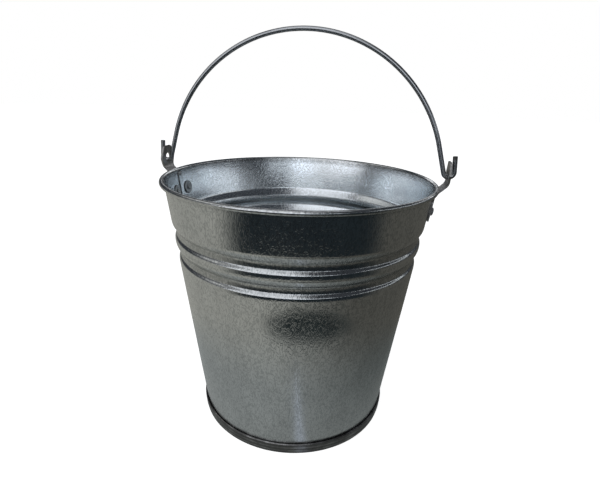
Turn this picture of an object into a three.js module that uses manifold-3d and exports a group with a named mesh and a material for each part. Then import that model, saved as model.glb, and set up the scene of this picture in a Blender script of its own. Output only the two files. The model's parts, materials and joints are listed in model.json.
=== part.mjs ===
// A 12-litre galvanised bucket: a tapered sheet-steel body with a wired rim and two swaged rings,
// a base joined to it by a folded double seam, two riveted ears and a swinging wire bail.
// Millimetres, +Z up. The origin is the centre of the foot, and X runs along the bail's axis.

import * as THREE from 'three';
import { mergeVertices } from 'three/addons/utils/BufferGeometryUtils.js';
import Module from 'manifold-3d';

const wasm = await Module();
wasm.setup();

// ---- body
const height = 282;              // ground to the top of the rim
const rimRadius = 150;           // outside of the rolled rim
const footRadius = 108.5;        // middle of the wall's sheet where its cone meets the ground
const sheet = 0.5;               // thickness of the body and base sheet
const gap = 0.3;                 // clearance between pieces that bear on each other
const facets = 56;               // sides of everything turned round the bucket's axis

// ---- rim
const rimWire = 1.75;            // radius of the wire rolled into the rim
const rimClearance = 0.35;       // between that wire and the sheet rolled round it
const curlEnd = -3 * Math.PI / 4;  // where the rolled edge stops, short of the wall

// ---- swaged rings: each groove has a long upper flank and a short lower one
const firstGrooveDrop = 57.1;    // rim top to the bottom of the upper groove
const groovePitch = 23.6;        // upper groove to lower groove
const grooveCount = 2;
const grooveDepth = 3.6;
const grooveUpper = 14.2;        // height of the flank above the groove's bottom
const grooveLower = 5.4;         // height of the flank below it

// ---- base and its double seam
const seamHeight = 13;           // ground to the top of the folded band
const seamOverlap = 3.5;         // how far each folded hook stops short of the other's bend
const footRecess = 9;            // ground to the underside of the base panel
const foldRadius = 0.7;          // bends of the folded seam, at the middle of the sheet

// ---- lock seam down the inside of the body
const lockSeamWidth = 7;
const lockSeamRise = 1.1;        // how far it stands in from the wall

// ---- ears
const plate = 2;                 // thickness of the ear plate
const earStandoff = 8;           // outside of the rim to the middle of the ear's head
const flangeWidth = 42;
const flangeDrop = 36.4;         // rim top to the bottom of the flange
const flangeShoulder = 14;       // rim top to the flange's shoulders
const flangeCorner = 7;          // rounding of the flange's lower corners
const neckWidth = 20;
const headWidth = 30;
const headTopWidth = 15;
const headRise = 25.3;           // rim top to the top of the head
const headShoulderRise = 12.5;   // rim top to the widest part of the head
const lowerBendDrop = 10;        // rim top to the bend where the ear leaves the wall
const upperBendRise = 2;         // rim top to the bend where the head turns upright
const eyeRadius = 5.5;           // hole for the bail
const eyeRise = 11.7;            // rim top to the middle of that hole

// ---- rivets and their washers
const rivetDrop = 25;            // rim top to the rivets
const rivetSpacing = 28;
const rivetShank = 2.2;
const rivetHead = 4.5;
const rivetHeadHeight = 2;
const rivetTail = 3.2;
const rivetTailHeight = 1.4;
const washerRadius = 7.5;
const washerThickness = 0.9;

// ---- bail
const bailWire = 2.5;            // radius of the bail's wire
const hookBend = 5.4;            // bend of the hooked end, at the middle of the wire
const hookTipRise = 22;          // bail axis to the cut end of the hook
const hookLean = THREE.MathUtils.degToRad(4);   // inward lean of the hook's free leg
const legLean = THREE.MathUtils.degToRad(16);   // inward lean of the legs above the ears
const legLength = 28;            // straight run of each leg before the arch

// ---- values that follow from those above
const curlOuter = rimWire + rimClearance + sheet;
const curlMiddle = curlOuter - sheet / 2;
const curlRadius = rimRadius - curlOuter;
const curlHeight = height - curlOuter;
const taper = (curlRadius - curlMiddle - footRadius) / curlHeight;
const taperAngle = Math.atan(taper);
const layer = sheet + gap;       // from one folded layer to the next
const earRadius = rimRadius + earStandoff;
const eyeHeight = height + eyeRise;
const axisHeight = eyeHeight - eyeRadius + gap + bailWire;   // the bail's wire rests in the eye
const rivetHeight = height - rivetDrop;

// ---- materials
const galvanised = { color: 0x8f948f, roughness: 0.36, metalness: 0.95 };
const finishes = {
  body: galvanised,
  base: { color: 0x6a6d69, roughness: 0.45, metalness: 0.9 },
  ear: { color: 0x6f6f68, roughness: 0.48, metalness: 0.9 },
  rivet: { color: 0x7d807c, roughness: 0.42, metalness: 0.9 },
  bail: { color: 0x66696b, roughness: 0.4, metalness: 0.92 },
  rimWire: { color: 0x5d5e5c, roughness: 0.5, metalness: 0.9 },
};

const bucket = new THREE.Group();

function addPiece(name, geometry, finish, place) {
  const mesh = new THREE.Mesh(geometry, new THREE.MeshStandardMaterial(finish));
  mesh.name = name;
  if (place) {
    mesh.applyMatrix4(place);
  }
  bucket.add(mesh);
  return mesh;
}

// ---- shared shapes

// The middle of the straight cone's sheet, with no grooves.
function coneRadius(z) {
  return footRadius + taper * z;
}

// Points along straight lines whose corners are rounded. Each corner is [x, y, radius], and
// a rounding is drawn with one point for about every stepAngle of its turn.
function roundedLine(corners, stepAngle, closed = false) {
  const points = [];
  const count = corners.length;
  for (let i = 0; i < count; i += 1) {
    const [x, y, radius] = corners[i];
    const corner = new THREE.Vector2(x, y);
    const isEnd = !closed && (i === 0 || i === count - 1);
    if (isEnd || radius === 0) {
      points.push(corner);
      continue;
    }
    const before = new THREE.Vector2(...corners[(i + count - 1) % count]).sub(corner).normalize();
    const after = new THREE.Vector2(...corners[(i + 1) % count]).sub(corner).normalize();
    const half = Math.acos(THREE.MathUtils.clamp(before.dot(after), -1, 1)) / 2;
    const centre = before.clone().add(after).normalize().multiplyScalar(radius / Math.sin(half)).add(corner);
    const start = before.clone().multiplyScalar(radius / Math.tan(half)).add(corner).sub(centre);
    const end = after.clone().multiplyScalar(radius / Math.tan(half)).add(corner).sub(centre);
    const turn = Math.atan2(start.cross(end), start.dot(end));
    const steps = Math.max(1, Math.round(Math.abs(turn) / stepAngle));
    for (let k = 0; k <= steps; k += 1) {
      points.push(start.clone().rotateAround(new THREE.Vector2(), turn * k / steps).add(centre));
    }
  }
  return points;
}

// The unit normals of an open line, to the left of its direction, scaled at each corner so that
// lines offset along them stay parallel.
function mitres(line) {
  return line.map((point, i) => {
    const into = point.clone().sub(line[Math.max(i - 1, 0)]).normalize();
    const out = line[Math.min(i + 1, line.length - 1)].clone().sub(point).normalize();
    const along = into.clone().add(out).normalize();
    const bend = Math.max(along.dot(into), along.dot(out));
    return new THREE.Vector2(-along.y, along.x).divideScalar(bend);
  });
}

// The closed outline of a sheet whose middle follows an open line.
function sheetOutline(line, thickness) {
  const normals = mitres(line);
  const left = line.map((p, i) => p.clone().addScaledVector(normals[i], thickness / 2));
  const right = line.map((p, i) => p.clone().addScaledVector(normals[i], -thickness / 2));
  return [...right, ...left.reverse()];
}

// A body turned round the Z axis. The outline runs anticlockwise in (radius, height).
function turned(outline, sides) {
  return new THREE.LatheGeometry(outline, sides).rotateX(Math.PI / 2);
}

function toSolid(geometry) {
  const bare = geometry.clone();
  bare.deleteAttribute('normal');
  bare.deleteAttribute('uv');
  const merged = mergeVertices(bare, 1e-4);
  const vertProperties = new Float32Array(merged.attributes.position.array);
  const triVerts = new Uint32Array(merged.index.array);
  return new wasm.Manifold(new wasm.Mesh({ numProp: 3, vertProperties, triVerts }));
}

function toGeometry(solid) {
  const mesh = solid.getMesh();
  const geometry = new THREE.BufferGeometry();
  geometry.setAttribute('position', new THREE.BufferAttribute(mesh.vertProperties, 3));
  geometry.setIndex(new THREE.BufferAttribute(mesh.triVerts, 1));
  return geometry;
}

// ---- rivet stations: X and Y of the local frame lie on the wall, Z points out of it

const rivetSag = coneRadius(rivetHeight) * (1 - Math.cos(Math.PI / facets));
const washerSag = washerRadius ** 2 / (2 * coneRadius(rivetHeight));
const washerSeat = sheet / 2 + rivetSag + washerSag + gap;   // wall middle to the washer
const headSeat = sheet / 2 + gap + plate + gap;              // wall middle to the rivet's head

function onWall(azimuth) {
  const radius = coneRadius(rivetHeight);
  const away = new THREE.Vector3(
    Math.cos(azimuth) * Math.cos(taperAngle),
    Math.sin(azimuth) * Math.cos(taperAngle),
    -Math.sin(taperAngle),
  );
  const across = new THREE.Vector3(-Math.sin(azimuth), Math.cos(azimuth), 0);
  const up = away.clone().cross(across);
  const place = new THREE.Matrix4().makeBasis(across, up, away);
  place.setPosition(radius * Math.cos(azimuth), radius * Math.sin(azimuth), rivetHeight);
  return place;
}

const rivetSwing = Math.asin(rivetSpacing / 2 / coneRadius(rivetHeight));
const sides = [
  { name: 'right', azimuth: 0 },
  { name: 'left', azimuth: Math.PI },
];
const rivetStations = sides.flatMap(({ name, azimuth }) => ['front', 'rear'].map((row) => {
  const ahead = row === 'front' ? -1 : 1;
  const side = Math.cos(azimuth);
  return { name: `${name}_${row}`, place: onWall(azimuth + ahead * side * rivetSwing) };
}));

function rivetHole(place) {
  const reach = 4 * headSeat;
  const bore = new THREE.CylinderGeometry(rivetShank + gap, rivetShank + gap, reach, 12);
  return toSolid(bore.rotateX(Math.PI / 2).applyMatrix4(place));
}

// ---- body wall: hooked foot, cone, swaged rings and rolled rim, all one sheet

// One groove from its lower edge up: half a cosine wave on each flank.
function groovePoints(bottom) {
  const stations = [[-1, grooveLower], [-0.5, grooveLower], [0, grooveUpper],
    [0.33, grooveUpper], [0.67, grooveUpper], [1, grooveUpper]];
  return stations.map(([share, flank]) => {
    const z = bottom + share * flank;
    const depth = grooveDepth * (1 + Math.cos(Math.PI * share)) / 2;
    return new THREE.Vector2(coneRadius(z) - depth, z);
  });
}

function grooves() {
  const points = [];
  for (let i = grooveCount - 1; i >= 0; i -= 1) {
    points.push(...groovePoints(height - firstGrooveDrop - i * groovePitch));
  }
  return points;
}

function curlPoints() {
  const steps = 7;
  const points = [];
  for (let k = 0; k <= steps; k += 1) {
    const angle = Math.PI + (curlEnd - Math.PI) * k / steps;
    points.push(new THREE.Vector2(
      curlRadius + curlMiddle * Math.cos(angle),
      curlHeight + curlMiddle * Math.sin(angle),
    ));
  }
  return points;
}

function bodyLine() {
  const bendZ = sheet / 2 + layer;
  const hookTop = seamHeight - seamOverlap;
  const firstGroove = grooves()[0];
  const foot = roundedLine([
    [coneRadius(hookTop) + 2 * layer, hookTop, 0],
    [coneRadius(bendZ) + 2 * layer, bendZ, foldRadius],
    [coneRadius(bendZ), bendZ, foldRadius],
    [firstGroove.x, firstGroove.y, 0],
  ], Math.PI / 4);
  foot.pop();
  return [...foot, ...grooves(), ...curlPoints()];
}

// The ridge of the lock seam: a straight strip that follows the wall's inside and bites into its sheet.
function lockSeam() {
  const low = footRecess + sheet + 1;
  const high = curlHeight - curlOuter;
  const line = [
    new THREE.Vector2(coneRadius(low), low),
    ...grooves(),
    new THREE.Vector2(coneRadius(high), high),
  ];
  const bite = line.map((p) => new THREE.Vector2(p.x - sheet / 5, p.y));
  const face = line.map((p) => new THREE.Vector2(p.x - sheet / 2 - lockSeamRise, p.y));
  const strip = new THREE.ExtrudeGeometry(new THREE.Shape([...bite, ...face.reverse()]), {
    depth: lockSeamWidth,
    bevelEnabled: false,
  });
  strip.translate(0, 0, -lockSeamWidth / 2);
  return strip.applyMatrix4(new THREE.Matrix4().makeBasis(
    new THREE.Vector3(-1, 0, 0),
    new THREE.Vector3(0, 0, 1),
    new THREE.Vector3(0, 1, 0),
  ));
}

function bodyWall() {
  const outline = sheetOutline(bodyLine(), sheet);
  outline.push(outline[0].clone());
  let wall = toSolid(turned(outline, facets)).add(toSolid(lockSeam()));
  for (const { place } of rivetStations) {
    wall = wall.subtract(rivetHole(place));
  }
  return toGeometry(wall);
}

// ---- base: a recessed panel whose edge is folded down, out and up round the body's hook

function basePan() {
  const panelZ = footRecess + sheet / 2;
  const groundZ = sheet / 2;
  const topZ = seamHeight - sheet / 2;
  const hookEnd = sheet / 2 + layer + seamOverlap;
  const line = roundedLine([
    [0, panelZ, 0],
    [coneRadius(panelZ) - layer, panelZ, 2 * foldRadius],
    [coneRadius(groundZ) - layer, groundZ, foldRadius],
    [coneRadius(groundZ) + 3 * layer, groundZ, foldRadius],
    [coneRadius(topZ) + 3 * layer, topZ, foldRadius],
    [coneRadius(topZ) + layer, topZ, foldRadius],
    [coneRadius(hookEnd) + layer, hookEnd, 0],
  ], Math.PI / 4);
  return turned(sheetOutline(line, sheet), facets);
}

// ---- rim wire, inside the roll

function rimHoop() {
  const section = [];
  const steps = 8;
  for (let k = 0; k <= steps; k += 1) {
    const angle = 2 * Math.PI * k / steps;
    section.push(new THREE.Vector2(
      curlRadius + rimWire * Math.cos(angle),
      curlHeight + rimWire * Math.sin(angle),
    ));
  }
  return turned(section, facets);
}

// ---- ears

// The middle of the ear's plate, seen from the side: up the wall, out round the rim, then upright.
function earSpine() {
  const flangeOffset = (sheet / 2 + gap + plate / 2) / Math.cos(taperAngle);
  const below = height - flangeDrop - plate;
  const lowerBend = height - lowerBendDrop;
  const above = height + headRise + plate;
  return roundedLine([
    [coneRadius(below) + flangeOffset, below, 0],
    [coneRadius(lowerBend) + flangeOffset, lowerBend, 5],
    [earRadius, height + upperBendRise, 9],
    [earRadius, above, 0],
  ], Math.PI / 12);
}

// A slab bent along the spine. Its lower end is rounded to the wall and its upper end is flat.
function earSlab() {
  const spine = earSpine();
  const normals = mitres(spine);
  const stations = spine.length - 1;
  const width = Math.max(flangeWidth, headWidth, neckWidth) + 2 * plate;
  const slab = new THREE.BoxGeometry(plate, width, 1, 1, 8, stations);
  const position = slab.attributes.position;
  const flatFrom = eyeHeight - eyeRadius;
  const roundTo = height - lowerBendDrop;
  for (let i = 0; i < position.count; i += 1) {
    const station = Math.round((position.getZ(i) + 0.5) * stations);
    const y = position.getY(i);
    const point = spine[station].clone().addScaledVector(normals[station], -position.getX(i));
    const flatness = THREE.MathUtils.smoothstep(point.y, roundTo, flatFrom);
    const round = Math.sqrt(point.x ** 2 - y ** 2);
    position.setXYZ(i, THREE.MathUtils.lerp(round, point.x, flatness), y, point.y);
  }
  return slab;
}

// The ear seen from outside: flange, neck and six-sided head, cut straight through along X.
function earOutline() {
  const half = [
    [flangeWidth / 2, height - flangeDrop, flangeCorner],
    [flangeWidth / 2, height - flangeShoulder, 3],
    [neckWidth / 2, height - flangeShoulder / 2, 4],
    [neckWidth / 2, height, 4],
    [headWidth / 2, height + headShoulderRise, 4],
    [headTopWidth / 2, height + headRise, 3],
  ];
  const mirrored = half.map(([y, z, radius]) => [-y, z, radius]).reverse();
  const shape = new THREE.Shape(roundedLine([...half, ...mirrored], Math.PI / 8, true));
  const cutter = new THREE.ExtrudeGeometry(shape, { depth: 2 * rimRadius, bevelEnabled: false });
  return cutter.applyMatrix4(new THREE.Matrix4().makeBasis(
    new THREE.Vector3(0, 1, 0),
    new THREE.Vector3(0, 0, 1),
    new THREE.Vector3(1, 0, 0),
  ));
}

function ear(azimuth) {
  const turn = new THREE.Matrix4().makeRotationZ(-azimuth);
  const eye = new THREE.CylinderGeometry(eyeRadius, eyeRadius, 10 * plate, 20);
  eye.rotateZ(Math.PI / 2).translate(earRadius, 0, eyeHeight);
  let blank = toSolid(earSlab()).intersect(toSolid(earOutline())).subtract(toSolid(eye));
  for (const { name, place } of rivetStations) {
    if (name.startsWith(azimuth === 0 ? 'right' : 'left')) {
      blank = blank.subtract(rivetHole(turn.clone().multiply(place)));
    }
  }
  return toGeometry(blank);
}

// ---- rivets and washers, along the local Z of their station

function rivet() {
  const tailSeat = -(washerSeat + washerThickness + gap);
  const outline = [
    [0, tailSeat - rivetTailHeight],
    [0.7 * rivetTail, tailSeat - 0.7 * rivetTailHeight],
    [rivetTail, tailSeat],
    [rivetShank, tailSeat],
    [rivetShank, headSeat],
    [rivetHead, headSeat],
    [0.75 * rivetHead, headSeat + 0.65 * rivetHeadHeight],
    [0, headSeat + rivetHeadHeight],
  ];
  return turned(outline.map(([r, z]) => new THREE.Vector2(r, z)), 12);
}

function washer() {
  const bevel = washerThickness / 3;
  const top = -washerSeat;
  const bottom = top - washerThickness;
  const outline = [
    [rivetShank + gap, bottom],
    [washerRadius - bevel, bottom],
    [washerRadius, bottom + bevel],
    [washerRadius, top],
    [rivetShank + gap, top],
    [rivetShank + gap, bottom],
  ];
  return turned(outline.map(([r, z]) => new THREE.Vector2(r, z)), 16);
}

// ---- bail: hook, leg, arch, leg, hook

// A wire's middle line in the XZ plane, made of plane curves that meet in line. Each curve has its own
// number of sections, so a tight bend gets as many as it needs.
class WireLine extends THREE.Curve {
  constructor(runs) {
    super();
    this.runs = runs;
    this.sections = runs.reduce((sum, run) => sum + run.sections, 0);
  }

  getPoint(t, target = new THREE.Vector3()) {
    let place = t * this.sections;
    let index = 0;
    while (index < this.runs.length - 1 && place > this.runs[index].sections) {
      place -= this.runs[index].sections;
      index += 1;
    }
    const point = this.runs[index].curve.getPoint(place / this.runs[index].sections);
    return target.set(point.x, 0, point.y);
  }

  getUtoTmapping(u) {
    return u;
  }
}

function bailRuns() {
  const hookX = earRadius;
  const hookZ = axisHeight + hookBend;
  const onHook = (angle) => new THREE.Vector2(
    hookX + hookBend * Math.cos(angle),
    hookZ + hookBend * Math.sin(angle),
  );
  const outer = onHook(hookLean);
  const inner = onHook(Math.PI + legLean);
  const tipZ = axisHeight + hookTipRise;
  const tip = new THREE.Vector2(outer.x - (tipZ - outer.y) * Math.tan(hookLean), tipZ);
  const shoulder = new THREE.Vector2(
    inner.x - legLength * Math.sin(legLean),
    inner.y + legLength * Math.cos(legLean),
  );
  const archRadius = shoulder.x / Math.cos(legLean);
  const archZ = shoulder.y - archRadius * Math.sin(legLean);
  const mirror = (p) => new THREE.Vector2(-p.x, p.y);
  const arc = (x, z, radius, from, to, clockwise) => (
    new THREE.EllipseCurve(x, z, radius, radius, from, to, clockwise)
  );
  return [
    { curve: new THREE.LineCurve(tip, outer), sections: 1 },
    { curve: arc(hookX, hookZ, hookBend, hookLean, legLean - Math.PI, true), sections: 8 },
    { curve: new THREE.LineCurve(inner, shoulder), sections: 1 },
    { curve: arc(0, archZ, archRadius, legLean, Math.PI - legLean, false), sections: 32 },
    { curve: new THREE.LineCurve(mirror(shoulder), mirror(inner)), sections: 1 },
    { curve: arc(-hookX, hookZ, hookBend, -legLean, -Math.PI - hookLean, true), sections: 8 },
    { curve: new THREE.LineCurve(mirror(outer), mirror(tip)), sections: 1 },
  ];
}

function bail() {
  const line = new WireLine(bailRuns());
  const round = new THREE.EllipseCurve(0, 0, bailWire, bailWire);
  const section = new THREE.Shape(round.getPoints(8).slice(0, -1));
  return new THREE.ExtrudeGeometry(section, {
    steps: line.sections,
    extrudePath: line,
    bevelEnabled: false,
  });
}

// ---- assembly

addPiece('body_wall', bodyWall(), finishes.body);
addPiece('rim_wire', rimHoop(), finishes.rimWire);
addPiece('base_pan', basePan(), finishes.base);

for (const { name, azimuth } of sides) {
  addPiece(`ear_${name}`, ear(azimuth), finishes.ear, new THREE.Matrix4().makeRotationZ(azimuth));
}

for (const { name, place } of rivetStations) {
  addPiece(`rivet_${name}`, rivet(), finishes.rivet, place);
  addPiece(`rivet_washer_${name}`, washer(), finishes.rivet, place);
}

addPiece('bail', bail(), finishes.bail);

export default bucket;
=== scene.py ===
import json
import math

import bpy
import numpy as np
from mathutils import Matrix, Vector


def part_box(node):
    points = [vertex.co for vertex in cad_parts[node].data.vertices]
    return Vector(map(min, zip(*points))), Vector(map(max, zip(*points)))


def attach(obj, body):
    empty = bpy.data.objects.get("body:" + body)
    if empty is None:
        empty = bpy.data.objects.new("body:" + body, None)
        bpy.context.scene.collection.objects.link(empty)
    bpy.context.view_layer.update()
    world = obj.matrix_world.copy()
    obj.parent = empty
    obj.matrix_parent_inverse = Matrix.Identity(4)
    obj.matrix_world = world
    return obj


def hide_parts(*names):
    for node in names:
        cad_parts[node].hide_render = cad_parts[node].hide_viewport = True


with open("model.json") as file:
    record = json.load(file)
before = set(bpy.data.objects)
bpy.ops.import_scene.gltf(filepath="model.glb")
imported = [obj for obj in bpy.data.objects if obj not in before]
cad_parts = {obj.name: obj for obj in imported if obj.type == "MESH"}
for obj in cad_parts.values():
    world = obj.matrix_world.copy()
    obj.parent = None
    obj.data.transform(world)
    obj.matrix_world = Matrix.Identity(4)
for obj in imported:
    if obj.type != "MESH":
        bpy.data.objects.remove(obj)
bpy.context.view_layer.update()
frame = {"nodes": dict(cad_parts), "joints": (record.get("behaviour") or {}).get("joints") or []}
scene = bpy.context.scene
toMetres = 0.001


def highCorner(node):
    # highest corner of a CAD node's box, in millimetres
    return np.array(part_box(node)[1]) / toMetres


wallHigh = highCorner("body_wall")
earHigh = highCorner("ear_right")
axisHeight = frame["joints"][0]["pos_m"][2] / toMetres
print("frame loaded", len(frame["nodes"]), "nodes")


# Putting numpy surfaces into meshes

def addObject(name, data):
    thing = bpy.data.objects.new(name, data)
    scene.collection.objects.link(thing)
    return thing


def putPiece(name, points, quads, triangles, quadUv, triangleUv, sharpAngle):
    # one object at the origin from whole arrays; faces are turned outwards by the sign of the volume
    faces = [quads, triangles] if len(triangles) else [quads]
    fans = [np.concatenate([f[:, [0, k, k + 1]] for k in range(1, f.shape[1] - 1)]) for f in faces]
    corners = points[np.concatenate(fans)]
    volume = np.einsum("ij,ij->i", corners[:, 0], np.cross(corners[:, 1], corners[:, 2])).sum()
    if volume < 0:
        faces = [f[:, ::-1] for f in faces]
        quadUv = quadUv[:, ::-1]
        triangleUv = triangleUv[:, ::-1]
    mesh = bpy.data.meshes.new(name)
    mesh.from_pydata((points * toMetres).tolist(), [], [row for f in faces for row in f.tolist()])
    uv = [quadUv.reshape(-1, 2)] + ([triangleUv.reshape(-1, 2)] if len(triangles) else [])
    sheetUv = mesh.uv_layers.new(name="sheetUv")
    sheetUv.data.foreach_set("uv", (np.concatenate(uv) * toMetres).astype(np.float32).ravel())
    mesh.shade_smooth()
    mesh.set_sharp_from_angle(angle=math.radians(sharpAngle))
    mesh.validate()
    return addObject(name, mesh)


def putSkin(name, grid, around, along, closeRows=False, poles=None, sharpAngle=38):
    # grid[row, column] of points; columns always close into a ring, rows close when closeRows is set,
    # and otherwise a fan joins each end ring to its pole; around and along are the UV distances
    rows, columns = grid.shape[:2]
    points = grid.reshape(-1, 3)
    lastRow = rows if closeRows else rows - 1
    row, column = [a.ravel() for a in np.meshgrid(np.arange(lastRow), np.arange(columns), indexing="ij")]
    cornerRow = np.stack([row, row, row + 1, row + 1], -1)
    cornerColumn = np.stack([column, column + 1, column + 1, column], -1)
    quads = (cornerRow % rows) * columns + cornerColumn % columns
    quadUv = np.stack([around[cornerColumn], along[cornerRow]], -1)
    triangles, triangleUv = np.zeros((0, 3), int), np.zeros((0, 3, 2))
    if poles is not None:
        ring = np.arange(columns)
        after = (ring + 1) % columns
        first, last = len(points), len(points) + 1
        points = np.concatenate([points, poles])
        start = np.stack([after, ring, np.full(columns, first)], -1)
        base = (rows - 1) * columns
        end = np.stack([base + ring, base + after, np.full(columns, last)], -1)
        triangles = np.concatenate([start, end])
        startUv = np.stack([np.stack([around[ring + 1], around[ring], around[ring]], -1),
                            np.full((columns, 3), along[0])], -1)
        endUv = np.stack([np.stack([around[ring], around[ring + 1], around[ring]], -1),
                          np.full((columns, 3), along[-1])], -1)
        triangleUv = np.concatenate([startUv, endUv])
    return putPiece(name, points, quads, triangles, quadUv, triangleUv, sharpAngle)


def lengthAlong(line):
    # distance from the first point to each point of a line
    return np.concatenate([[0], np.cumsum(np.linalg.norm(np.diff(line, axis=0), axis=1))])


def addMask(piece, name, values):
    # one number for each point, read by the material
    mask = piece.data.attributes.new(name, "FLOAT", "POINT")
    full = np.zeros(len(piece.data.vertices), np.float32)
    full[:values.size] = values.ravel()
    mask.data.foreach_set("value", full)


def smoothStep(low, high, x):
    t = np.clip((x - low) / (high - low), 0, 1)
    return t * t * (3 - 2 * t)


def unit(vectors):
    return vectors / np.linalg.norm(vectors, axis=-1, keepdims=True)


def leftNormals(line):
    # unit normals to the left of a plane line, from the chord across each point
    chord = np.gradient(line, axis=0)
    return unit(np.stack([-chord[:, 1], chord[:, 0]], -1))


def arc(centre, radius, start, end, count):
    # points of a plane arc, angles in degrees
    angle = np.radians(np.linspace(start, end, count))
    return np.array(centre) + radius * np.stack([np.cos(angle), np.sin(angle)], -1)


def straight(start, end, count):
    # evenly spaced points of a straight line, both ends left out
    t = np.linspace(0, 1, count + 2)[1:-1, None]
    return np.array(start) * (1 - t) + np.array(end) * t


def roundedLine(corners, closed=False, steps=6):
    # straight runs whose corners [x, y, radius] are arcs of that radius, tangent to both runs
    found = []
    count = len(corners)
    for i, (x, y, radius) in enumerate(corners):
        corner = np.array([x, y], float)
        if radius == 0 or (not closed and i in (0, count - 1)):
            found.append(corner[None])
            continue
        before = unit(np.array(corners[i - 1][:2]) - corner)
        after = unit(np.array(corners[(i + 1) % count][:2]) - corner)
        half = math.acos(np.clip(before @ after, -1, 1)) / 2
        centre = corner + unit(before + after) * radius / math.sin(half)
        start = corner + before * radius / math.tan(half) - centre
        end = corner + after * radius / math.tan(half) - centre
        turn = math.atan2(start[0] * end[1] - start[1] * end[0], start @ end)
        angle = math.atan2(start[1], start[0]) + np.linspace(0, turn, steps + 1)
        found.append(centre + radius * np.stack([np.cos(angle), np.sin(angle)], -1))
    return np.concatenate(found)


def turned(outline, azimuth):
    # outline of (radius, height) carried round Z: x = r cos a, y = r sin a
    r, z = outline[:, 0, None], outline[:, 1, None]
    return np.stack([r * np.cos(azimuth), r * np.sin(azimuth), z + 0 * azimuth], -1)


def bell(x, middle, width):
    # 1 at the middle, falling off as exp(-((x - middle) / width)^2)
    return np.exp(-((x - middle) / width) ** 2)


def pushOut(grid, radius, push):
    # moves each point out from Z by push: x and y times (r + push) / r
    grid[..., :2] *= ((radius + push) / radius)[..., None]


# Body sheet

bodySizes = {
    "sheet": 0.5,
    "gap": 0.3,
    "footRadius": 108.5,
    "rimWire": 1.75,
    "rimClearance": 0.35,
    "curlEnd": -135,
    "grooveDrops": (59.8, 83.4),    # rim top to the middle of each groove's step
    "stepSlope": 0.80,
    "stepWidth": 1.30,
    "leadSlope": 0.27,
    "leadWidth": 6.9,
    "flankWidth": 10.6,
    "seamHeight": 13,
    "seamOverlap": 3.5,
    "foldRadius": 0.7,
    "lockSeamRise": 1.1,
    "lockSeamFrom": 10.5,
    "wallMiddle": 128,              # radius that turns angles into lengths round the wall
    "waviness": 0.11,
    "wavesFrom": (14, 40),          # heights over which the unevenness fades in, and out again
    "wavesTo": (262, 276),
    "ridgeFront": (-3.9, -3.55),    # lock seam's sides, as distances round the wall from its middle
    "ridgeRear": (2.7, 3.9),
    "creviceAt": -4.15,
    "creviceWidth": 0.28,
    "creviceInside": 0.16,
    "creviceOutside": 0.14,
    # a painted shadow line in the crevice beside the lock seam, inside
    "creviceShadowAt": -4.1,
    "creviceShadowWidth": 0.55,
    "crestBelow": 3.4,              # from a groove's step down to the crest that is brightened: rub, and a painted highlight
    "crestWidth": 1.8,
    "rimCrownBright": (2.8, 1.8),        # rim top to where its brightened crown starts and is full: rub, and a painted highlight
    # next three: painted shade at the foot for the shadowed floor it reflects, painted shade under the rolled
    # rim, and the rim top darkened a little
    "paintedFootShade": (13, 19),
    "paintedCurlShade": (6, 1.6),           # rim top to the painted shade under the rolled rim, and its width
    "rimDarkening": (5, 3.5),
    "insideToneTo": (6, 4),              # rim top to where the inside's painted lighter tone ends
    "columns": 190,
}

height = wallHigh[2]
rimRadius = wallHigh[0]
sheet = bodySizes["sheet"]
layer = sheet + bodySizes["gap"]
curlOuter = bodySizes["rimWire"] + bodySizes["rimClearance"] + sheet
curlMiddle = curlOuter - sheet / 2
curlCentre = np.array([rimRadius - curlOuter, height - curlOuter])
taper = (curlCentre[0] - curlMiddle - bodySizes["footRadius"]) / curlCentre[1]
taperAngle = math.atan(taper)


def coneRadius(z):
    return bodySizes["footRadius"] + taper * z


def grooveTable():
    # depth against height above the step, summed from the slope: a steep bell for the step, a wide cosine
    # for its lead-ins, and a flat-topped rise on the long flank that brings the wall back out
    s = bodySizes
    rise = np.linspace(-s["leadWidth"] - 1, s["leadWidth"] + s["flankWidth"] + 1, 800)
    inward = s["stepSlope"] * bell(rise, 0, s["stepWidth"])
    inward += s["leadSlope"] * (1 + np.cos(np.pi * np.clip(rise / s["leadWidth"], -1, 1))) / 2
    along = rise - s["leadWidth"]
    outward = smoothStep(-1, 2.6, along) * (1 - smoothStep(s["flankWidth"] - 4.5, s["flankWidth"], along))
    outward *= inward.sum() / outward.sum()
    return rise, np.cumsum(inward - outward) * (rise[1] - rise[0])


def grooveDepthAt(z):
    rise, depth = grooveTable()
    return sum(np.interp(z - (height - drop), rise, depth, 0, 0) for drop in bodySizes["grooveDrops"])


def bodyLine():
    # middle of the sheet: outer leg of the foot's hook, its two bends, cone with grooves, rim curl
    s = bodySizes
    bendZ = sheet / 2 + layer
    hookTop = s["seamHeight"] - s["seamOverlap"]
    fold = s["foldRadius"]
    hook = roundedLine([
        (coneRadius(hookTop) + 2 * layer, hookTop, 0),
        (coneRadius(bendZ) + 2 * layer, bendZ, fold),
        (coneRadius(bendZ), bendZ, fold),
        (coneRadius(hookTop), hookTop, 0),
    ])[:-1]
    lowest = height - s["grooveDrops"][-1] - s["leadWidth"] - 1
    highest = height - s["grooveDrops"][0] + s["leadWidth"] + s["flankWidth"] + 1
    z = np.concatenate([
        np.linspace(hook[-1, 1] + 1.5, lowest, 26)[:-1],
        np.linspace(lowest, highest, 96),
        np.linspace(highest, curlCentre[1] - 1, 20)[1:],
    ])
    wall = np.stack([coneRadius(z) - grooveDepthAt(z), z], -1)
    curl = arc(curlCentre, curlMiddle, 180 - math.degrees(taperAngle), s["curlEnd"], 24)
    return np.concatenate([hook, wall, curl])


def sheetGrid(line, thickness, azimuth):
    # both faces of a sheet turned round Z: right-hand face up the line, then left-hand face back down
    normals = leftNormals(line)
    right = line - normals * thickness / 2
    left = line + normals * thickness / 2
    outline = np.concatenate([right, left[::-1]])
    return turned(outline, azimuth), lengthAlong(np.concatenate([outline, outline[:1]])), len(line)


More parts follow.
